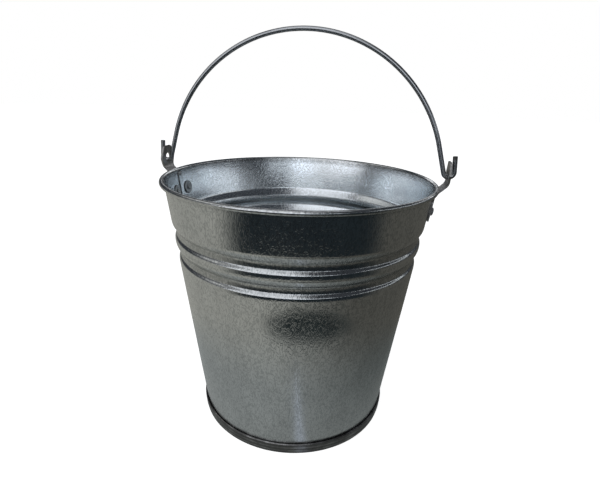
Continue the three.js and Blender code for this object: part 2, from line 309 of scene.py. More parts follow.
def bodyAzimuths():
    # even columns, with finer ones across the lock seam at half a turn; distances are in millimetres
    seam = np.array([-9, -7, -5.6, -4.7, -4.3, -4.05, -3.85, -3.7, -3.55, -3.4, -3.2, -2.6, -1.2,
                     0, 1.2, 2.4, 2.9, 3.2, 3.5, 3.8, 4.2, 5, 6.5, 8.5]) / bodySizes["wallMiddle"]
    even = np.linspace(-math.pi, math.pi, bodySizes["columns"], endpoint=False)
    away = even[(even > -math.pi + 0.09) & (even < math.pi - 0.09)]
    return np.sort(np.concatenate([away, math.pi - seam]))


def sheetWaves(azimuth, z):
    # slow hand-made unevenness: a sum of sines round and up the sheet
    return (0.40 * np.sin(5 * azimuth + 0.021 * z + 0.6)
            + 0.30 * np.sin(11 * azimuth - 0.034 * z + 2.1)
            + 0.22 * np.sin(19 * azimuth + 0.052 * z + 4.0)
            + 0.20 * np.sin(3 * azimuth - 0.075 * z + 1.2)
            + 0.16 * np.sin(31 * azimuth + 0.025 * z + 3.3))


def makeBodySheet():
    # radius = cone - groove depth + waves on both faces, less the lock seam's rise inside, with a crevice
    # beside the seam
    s = bodySizes
    azimuth = bodyAzimuths()
    line = bodyLine()
    grid, along, half = sheetGrid(line, sheet, azimuth)
    z = grid[..., 2]
    radius = np.hypot(grid[..., 0], grid[..., 1])
    inside = (np.arange(len(grid)) >= half)[:, None] + 0 * azimuth[None] > 0
    # lock seam: inner face stands in by lockSeamRise over its width, hard edge to the front, soft to the rear
    arcLength = (math.pi - azimuth) * s["wallMiddle"]
    ridge = smoothStep(*s["ridgeFront"], arcLength) * (1 - smoothStep(*s["ridgeRear"], arcLength))
    crevice = bell(arcLength, s["creviceAt"], s["creviceWidth"])
    reach = smoothStep(s["lockSeamFrom"] - 1, s["lockSeamFrom"] + 1, z)
    reach = reach * (1 - smoothStep(curlCentre[1] - 4, curlCentre[1] - 1.5, z))
    innerPush = s["creviceInside"] * crevice - s["lockSeamRise"] * ridge
    push = np.where(inside, innerPush, -s["creviceOutside"] * crevice) * reach
    fade = smoothStep(*s["wavesFrom"], z) * (1 - smoothStep(*s["wavesTo"], z))
    push = push + s["waviness"] * sheetWaves(azimuth[None], z) * fade
    pushOut(grid, radius, push)
    around = np.append(azimuth, azimuth[0] + 2 * math.pi) * s["wallMiddle"]
    piece = putSkin("bodySheet", grid, around, along, closeRows=True)
    # masks: crests and rim top brightened, partly rub and partly a painted highlight; painted shade in the
    # seam's crevice, groove hollows, foot and under the rolled rim; the rim top darkened a little; the inside
    # painted lighter, a painted light
    drop = height - z
    depth = grooveDepthAt(z) / grooveDepthAt(height - s["grooveDrops"][0] + 5)
    # brightening of the groove crests and the rim crown: rub, and a painted highlight
    crest = 0.5 * sum(bell(drop, step + s["crestBelow"], s["crestWidth"]) for step in s["grooveDrops"])
    crest += 0.6 * smoothStep(*s["rimCrownBright"], drop)
    # painted shadow in the seam's crevice; painted shade in the groove hollows, at the foot and under the
    # rolled rim; the rim top darkened a little
    creviceShadow = bell(arcLength, s["creviceShadowAt"], s["creviceShadowWidth"])
    dirtAndShade = 1.5 * creviceShadow * reach * inside + 0.35 * depth ** 2 + 0.8 * (1 - smoothStep(*s["paintedFootShade"], z))
    dirtAndShade = dirtAndShade + 0.5 * bell(drop, *s["paintedCurlShade"]) + 0.10 * smoothStep(*s["rimDarkening"], drop)
    addMask(piece, "rubAndHighlight", np.clip(crest, 0, 1))
    addMask(piece, "dirtAndShade", np.clip(dirtAndShade, 0, 1))
    # the inside painted lighter and bluish, a painted light
    addMask(piece, "inner", inside * (1 - smoothStep(*s["insideToneTo"], drop)))
    return piece


# Base pan, folded round the body's hook

panSizes = {
    "recess": 9,
    "ridges": ((4.1, 0.32, 0.55), (8.4, 0.28, 0.6)),     # height, rise and half width of the roller marks
    "edgeWander": 0.22,
    "skirtWander": 0.05,
    "dishing": 0.25,
    "dishRadius": 100,
    "skirtStep": 0.8,       # longest run between points on the skirt, and on the panel
    "panelStep": 6,
    "crownFrom": (12.2, 12.9),
    "wanderFrom": (10.5, 12.6),
    "skirtShadeFrom": (5, 1),     # in from the cone's foot, to where the painted shade of the edge and skirt starts and is full
    "insideToneTo": (12, 3),
    "uvRadius": 110,        # radius that turns angles into lengths round the skirt
    "columns": 190,
}


def makeBasePan():
    # one line from the middle of the panel out, down the wall, under the hook, up outside it and in over it,
    # turned round Z, with radius + ridges + wander on the skirt and height + dishing on the panel
    s = panSizes
    panelZ = s["recess"] + sheet / 2
    groundZ = sheet / 2
    topZ = bodySizes["seamHeight"] - sheet / 2
    insideZ = sheet / 2 + layer + bodySizes["seamOverlap"]
    fold = bodySizes["foldRadius"]
    corners = [
        (2, panelZ, 0),
        (coneRadius(panelZ) - layer, panelZ, 2 * fold),
        (coneRadius(groundZ) - layer, groundZ, fold),
        (coneRadius(groundZ) + 3 * layer, groundZ, fold),
        (coneRadius(topZ) + 3 * layer, topZ, fold),
        (coneRadius(topZ) + layer, topZ, fold),
        (coneRadius(insideZ) + layer, insideZ, 0),
    ]
    rough = roundedLine(corners, steps=7)
    pieces = [rough[:1]]
    for a, b in zip(rough[:-1], rough[1:]):
        span = np.linalg.norm(b - a)
        stepSize = s["panelStep"] if b[0] < coneRadius(panelZ) - 3 else s["skirtStep"]
        pieces += [straight(a, b, int(span / stepSize)), b[None]]
    line = np.concatenate(pieces)
    azimuth = np.linspace(0, 2 * math.pi, s["columns"], endpoint=False)
    grid, along, _ = sheetGrid(line, sheet, azimuth)
    z = grid[..., 2].copy()
    radius = np.hypot(grid[..., 0], grid[..., 1])
    outer = coneRadius(z) + 3 * layer
    onSkirt = smoothStep(outer - 0.35, outer - 0.05, radius)
    push = sum(rise * bell(z, level, width) for level, rise, width in s["ridges"]) * onSkirt
    wander = (np.sin(7 * azimuth + 0.4) + 0.8 * np.sin(17 * azimuth + 2.0) + 0.6 * np.sin(41 * azimuth + 1.0)
              + 0.4 * np.sin(83 * azimuth)) / 2.8
    push = push + s["skirtWander"] * wander * onSkirt
    pushOut(grid, radius, push)
    grid[..., 2] -= s["edgeWander"] * (0.5 + 0.5 * wander) * smoothStep(*s["wanderFrom"], z)
    dish = np.cos(np.clip(radius / s["dishRadius"], 0, 1) * math.pi) * 0.5 + 0.5
    grid[..., 2] += s["dishing"] * dish
    bottom = [0, 0, panelZ - sheet / 2 + s["dishing"]]
    top = [0, 0, panelZ + sheet / 2 + s["dishing"]]
    around = np.append(azimuth, 2 * math.pi) * s["uvRadius"]
    piece = putSkin("basePan", grid, around, along, poles=np.array([bottom, top]))
    # brightening of the roller ridges and the crown: rub, and a painted highlight
    ridge = sum(bell(z, level, width) for level, _, width in s["ridges"]) * onSkirt
    ridge = ridge + smoothStep(*s["crownFrom"], z)
    inward = coneRadius(0) - radius
    addMask(piece, "rubAndHighlight", np.clip(ridge, 0, 1))
    # painted shade on the edge and skirt, for the shadowed floor they reflect
    addMask(piece, "dirtAndShade", 0.45 * smoothStep(*s["skirtShadeFrom"], inward))
    addMask(piece, "inner", 1 - smoothStep(*s["insideToneTo"], inward))
    return piece


# Wire rolled into the rim

def makeRimHoop():
    # a circle of the wire's radius carried round Z
    section = arc(curlCentre, bodySizes["rimWire"], 0, 360, 21)[:-1]
    azimuth = np.linspace(0, 2 * math.pi, 180, endpoint=False)
    grid = turned(section, azimuth)
    around = np.append(azimuth, 2 * math.pi) * curlCentre[0]
    along = lengthAlong(np.concatenate([section, section[:1]]))
    return putSkin("rimHoop", grid, around, along, closeRows=True)


# Ears: a plate with a round eye, bent up the wall and out over the rim

earSizes = {
    "plate": 2,
    "lowerBend": 5,
    "upperBend": 9,
    "spare": 2,             # how far the spine runs past the plate at each end
    "flangeWidth": 42,
    "flangeDrop": 36.4,
    "flangeShoulder": 14,
    "flangeCorner": 7,
    "neckWidth": 20,
    "headWidth": 30,
    "headTopWidth": 15,
    "headShoulderRise": 12.5,
    "lowerBendDrop": 10,
    "upperBendRise": 2,
    "eyeRadius": 5.5,
    "eyeRise": 11.7,
    "edgeRadius": 0.45,
    "acrossHalf": 9,
}
earRadius = earHigh[0] - earSizes["plate"] / 2
headRise = earHigh[2] - height
eyeHeight = height + earSizes["eyeRise"]


def earSpine():
    # side view of the plate's middle: up the wall, out round the rim, then upright
    s = earSizes
    offset = (sheet / 2 + bodySizes["gap"] + s["plate"] / 2) / math.cos(taperAngle)
    below = height - s["flangeDrop"] - s["spare"]
    bend = height - s["lowerBendDrop"]
    return roundedLine([
        (coneRadius(below) + offset, below, 0),
        (coneRadius(bend) + offset, bend, s["lowerBend"]),
        (earRadius, height + s["upperBendRise"], s["upperBend"]),
        (earRadius, height + headRise + s["spare"], 0),
    ], steps=14)


def earHalfOutline():
    # half width against height, from the bottom middle to the top middle
    s = earSizes
    half = [
        (s["flangeWidth"] / 2, height - s["flangeDrop"], s["flangeCorner"]),
        (s["flangeWidth"] / 2, height - s["flangeShoulder"], 3),
        (s["neckWidth"] / 2, height - s["flangeShoulder"] / 2, 4),
        (s["neckWidth"] / 2, height, 4),
        (s["headWidth"] / 2, height + s["headShoulderRise"], 4),
        (s["headTopWidth"] / 2, height + headRise, 3),
    ]
    mirrored = [(-y, z, r) for y, z, r in half][::-1]
    line = roundedLine(half + mirrored, closed=True, steps=9)
    return line[:len(line) // 2]


def makeEar(name, side):
    # rows follow the height, and each half's columns run from the eye's edge (or the middle) to the outline;
    # x is the spine's radius, curved as sqrt(x^2 - y^2) on the flange and flat on the head
    s = earSizes
    outline = earHalfOutline()
    eye = s["eyeRadius"]
    turn = np.radians(np.linspace(-90, 90, 25))
    eyeRows = eyeHeight + eye * np.sin(turn)
    spread = np.linspace(outline[0, 1], outline[-1, 1], 56)
    spread = spread[(spread < eyeRows[0] - 0.3) | (spread > eyeRows[-1] + 0.3)]
    rows = np.unique(np.round(np.concatenate([outline[:, 1], spread, eyeRows]), 4))
    rows = rows[np.insert(np.diff(rows) > 0.02, 0, True)]
    halfWidth = np.interp(rows, outline[:, 1], outline[:, 0])
    reach = np.clip(eye ** 2 - (rows - eyeHeight) ** 2, 0, None)
    eyeHalf = np.where(reach < 0.02, 0, np.sqrt(reach))
    spine = earSpine()
    spineX = np.interp(rows, spine[:, 1], spine[:, 0])
    count = s["acrossHalf"]
    share = np.linspace(0, 1, count)
    y = eyeHalf[:, None] + (halfWidth - eyeHalf)[:, None] * share
    flatness = smoothStep(height - s["lowerBendDrop"], eyeHeight - eye, rows)[:, None]
    x = np.sqrt(spineX[:, None] ** 2 - y ** 2) * (1 - flatness) + spineX[:, None] * flatness
    z = rows[:, None] + 0 * y
    halves = [np.stack([x, sign * y, z], -1) for sign in (-1, 1)]
    points = np.concatenate([h.reshape(-1, 3) for h in halves])
    r, c = [a.ravel() for a in np.meshgrid(np.arange(len(rows) - 1), np.arange(count - 1), indexing="ij")]
    quad = np.stack([r * count + c, r * count + c + 1, (r + 1) * count + c + 1, (r + 1) * count + c], -1)
    quads = np.concatenate([quad[:, ::-1], quad + len(rows) * count])
    # the middle column is shared wherever there is no eye
    middle = np.arange(len(rows)) * count
    target = np.arange(len(points))
    joined = eyeHalf == 0
    target[(middle + len(rows) * count)[joined]] = middle[joined]
    quads = target[quads]
    used = np.unique(quads)
    index = np.zeros(len(points), int)
    index[used] = np.arange(len(used))
    points, quads = points[used] * [side, side, 1], index[quads]
    mesh = bpy.data.meshes.new(name)
    mesh.from_pydata((points * toMetres).tolist(), [], quads.tolist())
    mesh.shade_smooth()
    piece = addObject(name, mesh)
    wall = piece.modifiers.new("plate", "SOLIDIFY")
    wall.thickness = s["plate"] * toMetres
    wall.offset = 0
    wall.use_even_offset = True
    edge = piece.modifiers.new("edge", "BEVEL")
    edge.width = s["edgeRadius"] * toMetres
    edge.segments = 3
    edge.limit_method = "ANGLE"
    edge.angle_limit = math.radians(50)
    edge.harden_normals = True
    return piece


# Rivets and washers

rivetSizes = {
    "drop": 25,
    "spacing": 28,
    "shank": 2.2,
    "head": 4.5,
    "headHeight": 2,
    "tail": 3.2,
    "tailHeight": 1.4,
    "washerRadius": 7.5,
    "washerThickness": 0.9,
    "facets": 56,       # sides of the CAD wall, which set the washer's seat
    "columns": 40,
    "washerColumns": 56,
}
rivetHeight = height - rivetSizes["drop"]
wallRadius = coneRadius(rivetHeight)
sag = wallRadius * (1 - math.cos(math.pi / rivetSizes["facets"]))
sag += rivetSizes["washerRadius"] ** 2 / (2 * wallRadius)
washerSeat = sheet / 2 + sag + bodySizes["gap"]
headSeat = sheet / 2 + bodySizes["gap"] + earSizes["plate"] + bodySizes["gap"]


def onWall(points, azimuth):
    # local X round the wall, Y up it and Z out of it, at the rivets' height
    away = np.array([math.cos(azimuth) * math.cos(taperAngle), math.sin(azimuth) * math.cos(taperAngle),
                     -math.sin(taperAngle)])
    across = np.array([-math.sin(azimuth), math.cos(azimuth), 0])
    up = np.cross(away, across)
    place = np.array([wallRadius * math.cos(azimuth), wallRadius * math.sin(azimuth), rivetHeight])
    return points @ np.stack([across, up, away]) + place


def makeRivet(name, azimuth):
    # tail with a set dimple inside, shank, and a low domed head outside, turned round local Z
    s = rivetSizes
    tailSeat = -(washerSeat + s["washerThickness"] + bodySizes["gap"])
    tail = np.array([(0.5, -0.62), (1.2, -0.8), (1.8, -1.0), (2.4, -0.94),
                     (2.9, -0.7), (3.12, -0.4), (3.2, -0.1), (3.12, 0)])
    tail = tail * [s["tail"] / tail[:, 0].max(), s["tailHeight"]] + [0, tailSeat]
    shank = np.array([(s["shank"], tailSeat + 0.05), (s["shank"], headSeat - 0.05)])
    rise = np.radians(np.linspace(4, 84, 14))
    dome = np.stack([s["head"] * np.cos(rise) ** 0.8, headSeat + s["headHeight"] * np.sin(rise) ** 0.9], -1)
    dome = np.concatenate([[(s["head"] - 0.12, headSeat)], dome])
    outline = np.concatenate([tail, shank, dome])
    turn = np.linspace(0, 2 * math.pi, s["columns"], endpoint=False)
    grid = turned(outline, turn)
    # hammer flats: the dome's height wanders a little round the head
    flat = 0.05 * np.sin(3 * turn + azimuth * 7) + 0.04 * np.sin(5 * turn + azimuth * 3)
    grid[..., 2] += flat * smoothStep(headSeat + 0.3, headSeat + 1.5, grid[..., 2])
    poles = np.array([[0, 0, tailSeat - 0.55 * s["tailHeight"]], [0, 0, headSeat + s["headHeight"]]])
    grid, poles = onWall(grid, azimuth), onWall(poles, azimuth)
    around = np.append(turn, 2 * math.pi) * s["head"]
    return putSkin(name, grid, around, lengthAlong(outline), poles=poles)


def makeWasher(name, azimuth):
    # flat ring with its outer edge rolled over, and pressed slightly hollow towards the rivet
    s = rivetSizes
    bore, rim, thick = s["shank"] + bodySizes["gap"], s["washerRadius"], s["washerThickness"]
    radius = np.concatenate([np.linspace(bore, rim - 0.6, 12), [rim - 0.3, rim - 0.1, rim]])
    face = -(washerSeat + thick) + 0.22 * bell(radius, bore + 1.2, 1.1)
    face[-3:] += [0.06, 0.2, 0.42]
    inner = np.stack([radius, face], -1)
    back, edge = -washerSeat, -washerSeat - 0.1
    outer = np.array([(rim, edge), (rim - 0.08, back), (bore + 0.1, back), (bore, edge)])
    outline = np.concatenate([inner, outer])
    turn = np.linspace(0, 2 * math.pi, s["washerColumns"], endpoint=False)
    grid = onWall(turned(outline, turn), azimuth)
    around = np.append(turn, 2 * math.pi) * rim
    return putSkin(name, grid, around, lengthAlong(np.concatenate([outline, outline[:1]])), closeRows=True)


# Bail

bailSizes = {
    "wire": 2.5,
    "hookBend": 5.4,
    "hookTipRise": 22,
    "hookLean": 4,
    "legLean": 16,
    "legLength": 28,
    "chamfer": 0.35,
    "spacing": 1.15,
    "hookWearAt": 24,       # along the wire from its cut end to where it turns in the eye
    "hookWearWidth": 6,
    "topWearFrom": (205, 250),
    "endDirtWidth": 5,
    "columns": 22,
}


def bailLine():
    # right hook's tip, hook, leg, arch, and the same mirrored; all in the plane of X and Z
    s = bailSizes
    hook = np.array([earRadius, axisHeight + s["hookBend"]])
    lean, leg = math.radians(s["hookLean"]), math.radians(s["legLean"])
    outer = hook + s["hookBend"] * np.array([math.cos(lean), math.sin(lean)])
    tipZ = axisHeight + s["hookTipRise"]
    tip = np.array([outer[0] - (tipZ - outer[1]) * math.tan(lean), tipZ])
    inner = hook + s["hookBend"] * np.array([-math.cos(leg), -math.sin(leg)])
    shoulder = inner + s["legLength"] * np.array([-math.sin(leg), math.cos(leg)])
    archRadius = shoulder[0] / math.cos(leg)
    archCentre = np.array([0, shoulder[1] - archRadius * math.sin(leg)])
    right = np.concatenate([
        straight(tip, outer, 12),
        arc(hook, s["hookBend"], s["hookLean"], s["legLean"] - 180, 24),
        straight(inner, shoulder, 20),
        arc(archCentre, archRadius, s["legLean"], 90, 180),
    ])
    right = np.concatenate([tip[None], right])
    return np.concatenate([right, right[-2::-1] * [-1, 1]])


def makeBail():
    # a round section carried along the line, with square-cut ends that have a small chamfer
    s = bailSizes
    rough = bailLine()
    length = lengthAlong(rough)
    count = int(length[-1] / s["spacing"])
    even = np.linspace(0, length[-1], count)
    line = np.stack([np.interp(even, length, rough[:, k]) for k in (0, 1)], -1)
    tangent = unit(np.gradient(line, axis=0))
    chamfer = s["chamfer"]
    radius = np.full(count, s["wire"])
    ends = [line[0] + tangent[0] * chamfer, line[-1] - tangent[-1] * chamfer]
    line = np.concatenate([line[:1], ends[:1], line[1:-1], ends[1:], line[-1:]])
    radius = np.concatenate([[s["wire"] - chamfer], radius, [s["wire"] - chamfer]])
    tangent = np.concatenate([tangent[:1], tangent, tangent[-1:]])
    along = lengthAlong(line)
    turn = np.linspace(0, 2 * math.pi, s["columns"], endpoint=False)
    across = np.stack([-tangent[:, 1], 0 * along, tangent[:, 0]], -1)[:, None]
    side = np.array([0, 1.0, 0])
    centre = np.stack([line[:, 0], 0 * along, line[:, 1]], -1)[:, None]
    ring = across * np.cos(turn)[None, :, None] + side * np.sin(turn)[None, :, None]
    grid = centre + radius[:, None, None] * ring
    around = np.append(turn, 2 * math.pi) * s["wire"]
    poles = np.concatenate([centre[0], centre[-1]])
    piece = putSkin("bailWire", grid, around, along, poles=poles)
    # wear where the wire turns in the eyes, and at the top where a hand or hook holds it
    fromEnd = np.minimum(along, along[-1] - along)
    surfaceMarks = bell(fromEnd, s["hookWearAt"], s["hookWearWidth"]) + 0.5 * smoothStep(*s["topWearFrom"], fromEnd)
    for mask, values in (("rubAndHighlight", surfaceMarks), ("dirtAndShade", bell(fromEnd, 0, s["endDirtWidth"]))):
        addMask(piece, mask, np.repeat(values[:, None], s["columns"], 1))
    return piece


# Node helpers

def addNode(tree, kind, inputs=None, **settings):
    # a node with its settings, and its inputs set to values or joined to other nodes' outputs
    node = tree.nodes.new(kind)
    for name, value in settings.items():
        setattr(node, name, value)
    for name, value in (inputs or {}).items():
        socket = node.inputs[name]
        if isinstance(value, bpy.types.NodeSocket):
            tree.links.new(value, socket)
        else:
            socket.default_value = value
    return node


def doMath(tree, operation, a, b=0.0, c=None, clamp=False):
    values = {0: a, 1: b} if c is None else {0: a, 1: b, 2: c}
    return addNode(tree, "ShaderNodeMath", values, operation=operation, use_clamp=clamp).outputs[0]


def vectorMath(tree, operation, a, b=(0, 0, 0), output="Vector"):
    return addNode(tree, "ShaderNodeVectorMath", {0: a, 1: b}, operation=operation).outputs[output]


def mapRange(tree, value, fromLow, fromHigh, toLow, toHigh, smooth=False):
    kind = "SMOOTHSTEP" if smooth else "LINEAR"
    inputs = {"Value": value, "From Min": fromLow, "From Max": fromHigh, "To Min": toLow, "To Max": toHigh}
    return addNode(tree, "ShaderNodeMapRange", inputs, interpolation_type=kind).outputs["Result"]


def mixColour(tree, factor, a, b, blend="MIX"):
    # a plain colour is given as three numbers
    first, second = [(*value, 1.0) if isinstance(value, tuple) else value for value in (a, b)]
    inputs = {0: factor, 6: first, 7: second}
    return addNode(tree, "ShaderNodeMix", inputs, data_type="RGBA", blend_type=blend).outputs[2]


def stretched(tree, vector, scale):
    return addNode(tree, "ShaderNodeMapping", {"Vector": vector, "Scale": scale}).outputs["Vector"]


def newGroup(name, inputs, outputs):
    # an empty shader group with its named sockets: (name, kind, default)
    group = bpy.data.node_groups.new(name, "ShaderNodeTree")
    for socketName, kind, value in inputs:
        socket = group.interface.new_socket(socketName, in_out="INPUT", socket_type=kind)
        if value is not None:
            socket.default_value = value
    for socketName, kind in outputs:
        group.interface.new_socket(socketName, in_out="OUTPUT", socket_type=kind)
    return group, group.nodes.new("NodeGroupInput").outputs, group.nodes.new("NodeGroupOutput").inputs


def emptyTree(owner):
    # the cleared node tree of a material or a world
    owner.use_nodes = True
    owner.node_tree.nodes.clear()
    return owner.node_tree


# Shared effects

def makeGrainGroup():
    # fine creases lengthwise, slow smudges and faint crystal patches, for rolled and drawn metal
    group, given, made = newGroup("metalGrain", [
        ("Vector", "NodeSocketVector", None),
        ("Across", "NodeSocketFloat", 900.0),
        ("Lengthwise", "NodeSocketFloat", 0.28),
        ("Smudge Size", "NodeSocketFloat", 24.0),
        ("Crystal Size", "NodeSocketFloat", 120.0),
    ], [("Grain", "NodeSocketFloat"), ("Smudge", "NodeSocketFloat"), ("Crystal", "NodeSocketFloat"),
        ("Height", "NodeSocketFloat")])
    stretch = addNode(group, "ShaderNodeCombineXYZ", {"X": 1.0, "Y": given["Lengthwise"], "Z": 1.0})
    along = vectorMath(group, "MULTIPLY", given["Vector"], stretch.outputs[0])
    dashes = addNode(group, "ShaderNodeTexNoise", {
        "Vector": along, "Scale": given["Across"], "Detail": 1.5, "Roughness": 0.5,
        "Distortion": 0.6}).outputs["Fac"]
    crease = doMath(group, "ABSOLUTE", doMath(group, "SUBTRACT", dashes, 0.5))
    grain = mapRange(group, crease, 0.0, 0.085, 0.0, 1.0, smooth=True)
    smudge = addNode(group, "ShaderNodeTexNoise", {
        "Vector": given["Vector"], "Scale": given["Smudge Size"], "Detail": 5.0, "Roughness": 0.62,
        "Distortion": 0.6}).outputs["Fac"]
    smudge = mapRange(group, smudge, 0.32, 0.68, 0.0, 1.0, smooth=True)
    cells = addNode(group, "ShaderNodeTexVoronoi", {
        "Vector": along, "Scale": given["Crystal Size"], "Randomness": 1.0})
    crystal = addNode(group, "ShaderNodeSeparateColor", {"Color": cells.outputs["Color"]}).outputs["Red"]
    fine = doMath(group, "MULTIPLY", grain, 0.7)
    for name, value in (("Grain", grain), ("Smudge", smudge), ("Crystal", crystal),
                        ("Height", doMath(group, "MULTIPLY_ADD", crystal, 0.3, fine))):
        group.links.new(value, made[name])
    return group


def makeMarksGroup():
    # a piece's own masks of rub and painted highlight and of dirt and painted shade, broken up so that
    # neither has a clean edge
    group, given, made = newGroup("wearAndPaintedLight", [
        ("Vector", "NodeSocketVector", None),
        ("Scale", "NodeSocketFloat", 260.0),
        ("Rub And Highlight", "NodeSocketFloat", 0.0),
        ("Dirt", "NodeSocketFloat", 0.0),
        ("Scratches", "NodeSocketFloat", 0.3),
    ], [("Bright", "NodeSocketFloat"), ("Dark", "NodeSocketFloat"), ("Scratch", "NodeSocketFloat")])
    patches = addNode(group, "ShaderNodeTexNoise", {
        "Vector": given["Vector"], "Scale": given["Scale"], "Detail": 4.0, "Roughness": 0.65}).outputs["Fac"]
    broken = mapRange(group, patches, 0.36, 0.66, 0.25, 1.0, smooth=True)
    spots = mapRange(group, patches, 0.62, 0.40, 0.35, 1.0, smooth=True)
    fine = addNode(group, "ShaderNodeTexNoise", {
        "Vector": stretched(group, given["Vector"], (9.0, 1.0, 3.0)), "Scale": 70.0, "Detail": 3.0,
        "Roughness": 0.5, "Distortion": 1.4}).outputs["Fac"]
    line = doMath(group, "ABSOLUTE", doMath(group, "SUBTRACT", fine, 0.5))
    line = mapRange(group, line, 0.0, 0.012, 1.0, 0.0)
    line = doMath(group, "MULTIPLY", line, given["Scratches"], clamp=True)
    group.links.new(doMath(group, "MULTIPLY", given["Rub And Highlight"], broken, clamp=True), made["Bright"])
    group.links.new(doMath(group, "MULTIPLY", given["Dirt"], spots, clamp=True), made["Dark"])
    group.links.new(line, made["Scratch"])
    return group


grainGroup = makeGrainGroup()
marksGroup = makeMarksGroup()


def makeMetal(name, look):
    # Principled metal whose colour, roughness and bump come from the grain group and the group of wear and
    # painted light
    material = bpy.data.materials.new(name)
    tree = emptyTree(material)
    if look["coordinates"] == "uv":
        vector = addNode(tree, "ShaderNodeUVMap", uv_map="sheetUv").outputs["UV"]
    else:
        vector = addNode(tree, "ShaderNodeTexCoord").outputs["Object"]
    grain = addNode(tree, "ShaderNodeGroup", node_tree=grainGroup)
    surfaceMarks = addNode(tree, "ShaderNodeGroup", node_tree=marksGroup)
    for node in (grain, surfaceMarks):
        tree.links.new(vector, node.inputs["Vector"])
    for socket, key in (("Across", "across"), ("Lengthwise", "lengthwise"), ("Smudge Size", "smudgeSize"),
                        ("Crystal Size", "crystalSize")):
        grain.inputs[socket].default_value = look[key]
    surfaceMarks.inputs["Scale"].default_value = look["markScale"]
    surfaceMarks.inputs["Scratches"].default_value = look["scratches"]
    if look["masks"]:
        for socket, mask in (("Rub And Highlight", "rubAndHighlight"), ("Dirt", "dirtAndShade")):
            read = addNode(tree, "ShaderNodeAttribute", attribute_name=mask)
            tree.links.new(read.outputs["Fac"], surfaceMarks.inputs[socket])
    dirtAndShade, bright = look["dirtAndShade"], look["bright"]
    colour = mixColour(tree, grain.outputs["Grain"], look["dark"], look["light"])
    for effect, key in (("Smudge", "smudgeShade"), ("Crystal", "crystalShade")):
        shade = mapRange(tree, grain.outputs[effect], 0.0, 1.0, *look[key])
        shade = addNode(tree, "ShaderNodeCombineColor", {"Red": shade, "Green": shade, "Blue": shade})
        colour = mixColour(tree, 1.0, colour, shade.outputs[0], "MULTIPLY")
    # inside surfaces take a lighter tone: on the sheet a painted light that brightens the inner wall; on the
    # panel, lighter than its painted-dark skirt
    if "insideTone" in look:
        inner = addNode(tree, "ShaderNodeAttribute", attribute_name="inner").outputs["Fac"]
        insideToneGrain = mapRange(tree, grain.outputs["Grain"], 0.0, 1.0, 0.82, 1.0)
        colour = mixColour(tree, doMath(tree, "MULTIPLY", inner, insideToneGrain), colour, look["insideTone"])
    # Bright lays on rub and painted highlight, Dark lays on dirt and painted shade
    colour = mixColour(tree, surfaceMarks.outputs["Bright"], colour, bright)
    colour = mixColour(tree, surfaceMarks.outputs["Dark"], colour, dirtAndShade)
    colour = mixColour(tree, doMath(tree, "MULTIPLY", surfaceMarks.outputs["Scratch"], 0.5), colour, bright)
    smooth = look["roughness"]
    rough = mapRange(tree, grain.outputs["Grain"], 0.0, 1.0, smooth + look["grainRough"], smooth)
    rough = doMath(tree, "MULTIPLY_ADD", grain.outputs["Smudge"], look["smudgeRough"], rough)
    rough = doMath(tree, "MULTIPLY_ADD", grain.outputs["Crystal"], look["crystalRough"], rough)
    if "insideTone" in look:
        rough = doMath(tree, "MULTIPLY_ADD", inner, look["insideToneRough"], rough)
    rough = doMath(tree, "MULTIPLY_ADD", surfaceMarks.outputs["Dark"], 0.25, rough)
    rough = doMath(tree, "MULTIPLY_ADD", surfaceMarks.outputs["Bright"], -0.06, rough, clamp=True)
    relief = doMath(tree, "MULTIPLY_ADD", surfaceMarks.outputs["Scratch"], -0.5, grain.outputs["Height"])
    bump = addNode(tree, "ShaderNodeBump", {
        "Strength": look["bump"], "Distance": look["bumpDepth"], "Height": relief})
    shader = addNode(tree, "ShaderNodeBsdfPrincipled", {
        "Base Color": colour, "Roughness": rough, "Normal": bump.outputs["Normal"],
        "Metallic": look["metallic"]})
    end = addNode(tree, "ShaderNodeOutputMaterial")
    tree.links.new(shader.outputs["BSDF"], end.inputs["Surface"])
    return material


zincLook = {
    "coordinates": "uv", "masks": True, "metallic": 1.0,
    "across": 410.0, "lengthwise": 0.42, "smudgeSize": 22.0, "crystalSize": 90.0,
    "markScale": 260.0, "scratches": 0.25,
    "dark": (0.47, 0.49, 0.49), "light": (0.67, 0.685, 0.685),
    # the dark colour lays on dirt and painted shade, the bright one on rub and painted highlight
    "dirtAndShade": (0.10, 0.10, 0.095), "bright": (0.80, 0.81, 0.81),
    "smudgeShade": (0.95, 1.02), "crystalShade": (0.95, 1.04),
    "roughness": 0.09, "grainRough": 0.05, "smudgeRough": 0.03, "crystalRough": 0.02,
    "bump": 0.20, "bumpDepth": 0.0003,
}
# the base pan's near-black tones are painted shade, for the shadowed floor its skirt reflects
baseLook = {
    **zincLook, "coordinates": "object", "across": 230.0, "lengthwise": 1.0, "markScale": 45.0,
    "crystalShade": (0.98, 1.02),
    "dark": (0.13, 0.128, 0.126), "light": (0.17, 0.168, 0.165),
    "dirtAndShade": (0.05, 0.048, 0.046), "bright": (0.60, 0.59, 0.58),
    "roughness": 0.20, "grainRough": 0.06, "bump": 0.05,
}
hoopLook = {**baseLook, "masks": False, "dark": (0.16, 0.16, 0.15), "light": (0.24, 0.24, 0.23)}
earLook = {
    **zincLook, "coordinates": "object", "masks": False,
    "across": 520.0, "lengthwise": 1.0, "smudgeSize": 90.0, "crystalSize": 260.0,
    "dark": (0.30, 0.295, 0.285), "light": (0.46, 0.45, 0.435),
    "smudgeShade": (0.80, 1.08), "roughness": 0.32, "grainRough": 0.10, "smudgeRough": 0.08, "bump": 0.16,
}
rivetLook = {
    **earLook, "dark": (0.34, 0.35, 0.36), "light": (0.55, 0.57, 0.58), "roughness": 0.28, "across": 900.0,
}
